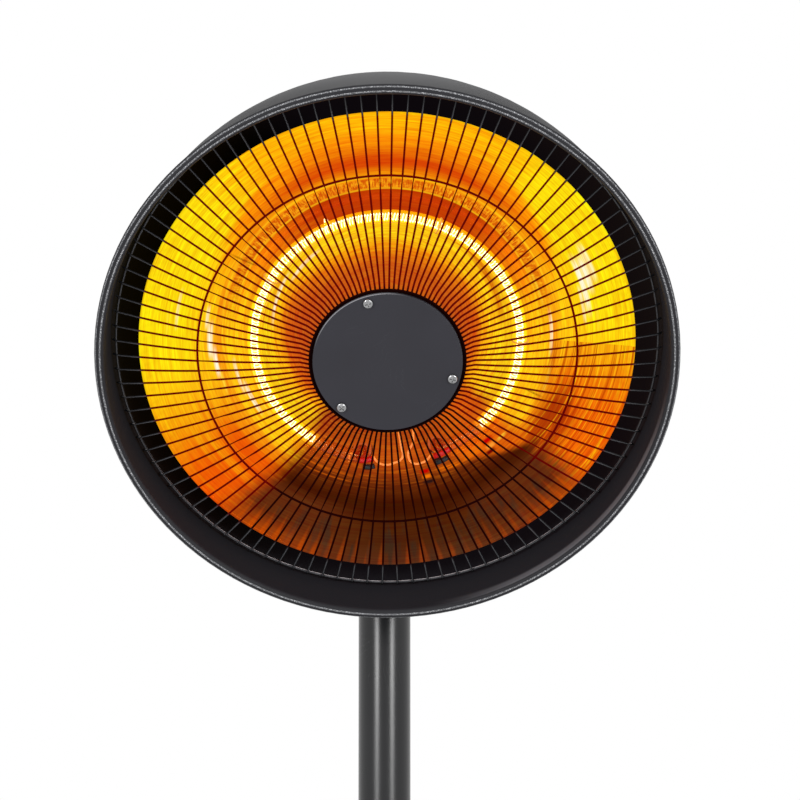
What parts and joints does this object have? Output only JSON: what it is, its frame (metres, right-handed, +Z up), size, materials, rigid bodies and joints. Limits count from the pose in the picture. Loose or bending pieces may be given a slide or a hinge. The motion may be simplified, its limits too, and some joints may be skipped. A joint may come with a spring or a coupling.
{
  "type": "infrared patio heater tower",
  "caption": "Standing patio heater: a round black shade with a glowing ring lamp, spun reflector and wire guard tilts on a tubular pole over a weighted round base.",
  "frame": {"origin": "centre of the base's foot ring on the floor, under the pole's axis", "axes": "+Z up along the pole; the head faces -Y and downwards; the tilt axis lies along X"},
  "size_m": [0.48, 0.6729, 2.0974],
  "materials": {
    "shade_black": "fine textured satin black powder coat",
    "pole_black": "satin black powder coat",
    "base_black": "satin black powder coat",
    "housing_black": "satin black powder coat",
    "cast_black": "satin black powder coat on a casting",
    "guard_black": "satin black on welded wire",
    "disc_grey": "flat dark grey powder coat",
    "reflector_gold": "spun and polished, gold in the lamp's light",
    "lamp_glass": "clear quartz tube",
    "lamp_coil": "glowing wire coil",
    "ceramic": "unglazed white ceramic",
    "red_silicone": "red silicone rubber",
    "spring_steel": "bare spring steel",
    "bright_steel": "bright plated steel",
    "zinc_steel": "zinc plated steel",
    "aluminised_sheet": "dull mill finish",
    "black_screws": "black oxide",
    "black_plastic": "fine moulded texture",
    "black_rubber": "matt black rubber",
    "cast_iron": "rough grey casting",
    "brass_insert": "turned brass"
  },
  "bodies": {
    "stand": {"base_cover": "base_black", "ballast_disc": "cast_iron", "foot_ring": "black_rubber", "pole_socket": "cast_black", "socket_bolts": "zinc_steel", "base_collar": "base_black", "base_gland": "black_plastic", "tip_switch_body": "black_plastic", "tip_spring": "spring_steel", "pole_lower": "pole_black", "pole_middle": "pole_black", "pole_upper": "pole_black", "lower_coupler": "zinc_steel", "upper_coupler": "zinc_steel", "pole_screws": "black_screws", "pole_grommet": "black_rubber", "pole_fork": "cast_black", "pivot_bolt": "bright_steel", "friction_washers": "spring_steel", "knob_washer": "spring_steel"},
    "head": {"shade": "shade_black", "reflector": "reflector_gold", "lamp_tube": "lamp_glass", "lamp_filament": "lamp_coil", "lamp_end_caps": "ceramic", "lamp_sleeves": "red_silicone", "lamp_clips": "spring_steel", "lamp_leads": "red_silicone", "wire_guard": "guard_black", "guard_disc": "disc_grey", "disc_screws": "bright_steel", "rivet_nuts": "zinc_steel", "guard_post": "zinc_steel", "guard_bolt": "zinc_steel", "carrier_plate": "zinc_steel", "heat_baffle": "aluminised_sheet", "reflector_spacers": "zinc_steel", "front_spacers": "zinc_steel", "rear_spacers": "zinc_steel", "reflector_screws": "bright_steel", "carrier_bolts": "black_screws", "carrier_nuts": "zinc_steel", "terminal_block": "ceramic", "terminal_screws": "zinc_steel", "thermal_cutout": "zinc_steel", "housing_gasket": "black_rubber", "rear_housing": "housing_black", "housing_screws": "zinc_steel", "head_gland": "black_plastic", "switch_body": "black_plastic", "hinge_lug": "cast_black", "lug_bolts": "zinc_steel"},
    "rocker": {"switch_rocker": "black_plastic"},
    "knob": {"tilt_knob": "black_plastic", "knob_insert": "brass_insert"},
    "plunger": {"tip_plunger": "black_plastic"}
  },
  "joints": [
    {"name": "head_tilt", "type": "hinge", "parent": "stand", "child": "head", "pos_m": [0, 0, 2.05], "axis": [1, 0, 0], "range_deg": [-32, 3]},
    {"name": "knob_turn", "type": "hinge", "parent": "stand", "child": "knob", "pos_m": [0, 0, 2.05], "axis": [1, 0, 0], "range_deg": [0, 180]},
    {"name": "switch_rock", "type": "hinge", "parent": "head", "child": "rocker", "pos_m": [0.0425, -0.06445, 2.00973], "axis": [1, 0, 0], "range_deg": [-18, 0]},
    {"name": "tip_plunger_slide", "type": "slide", "parent": "stand", "child": "plunger", "axis": [0, 0, -1], "range_m": [0, 0.006], "stiffness_N_per_m": 150, "springref_m": 0.009, "deforming": ["tip_spring"]}
  ]
}
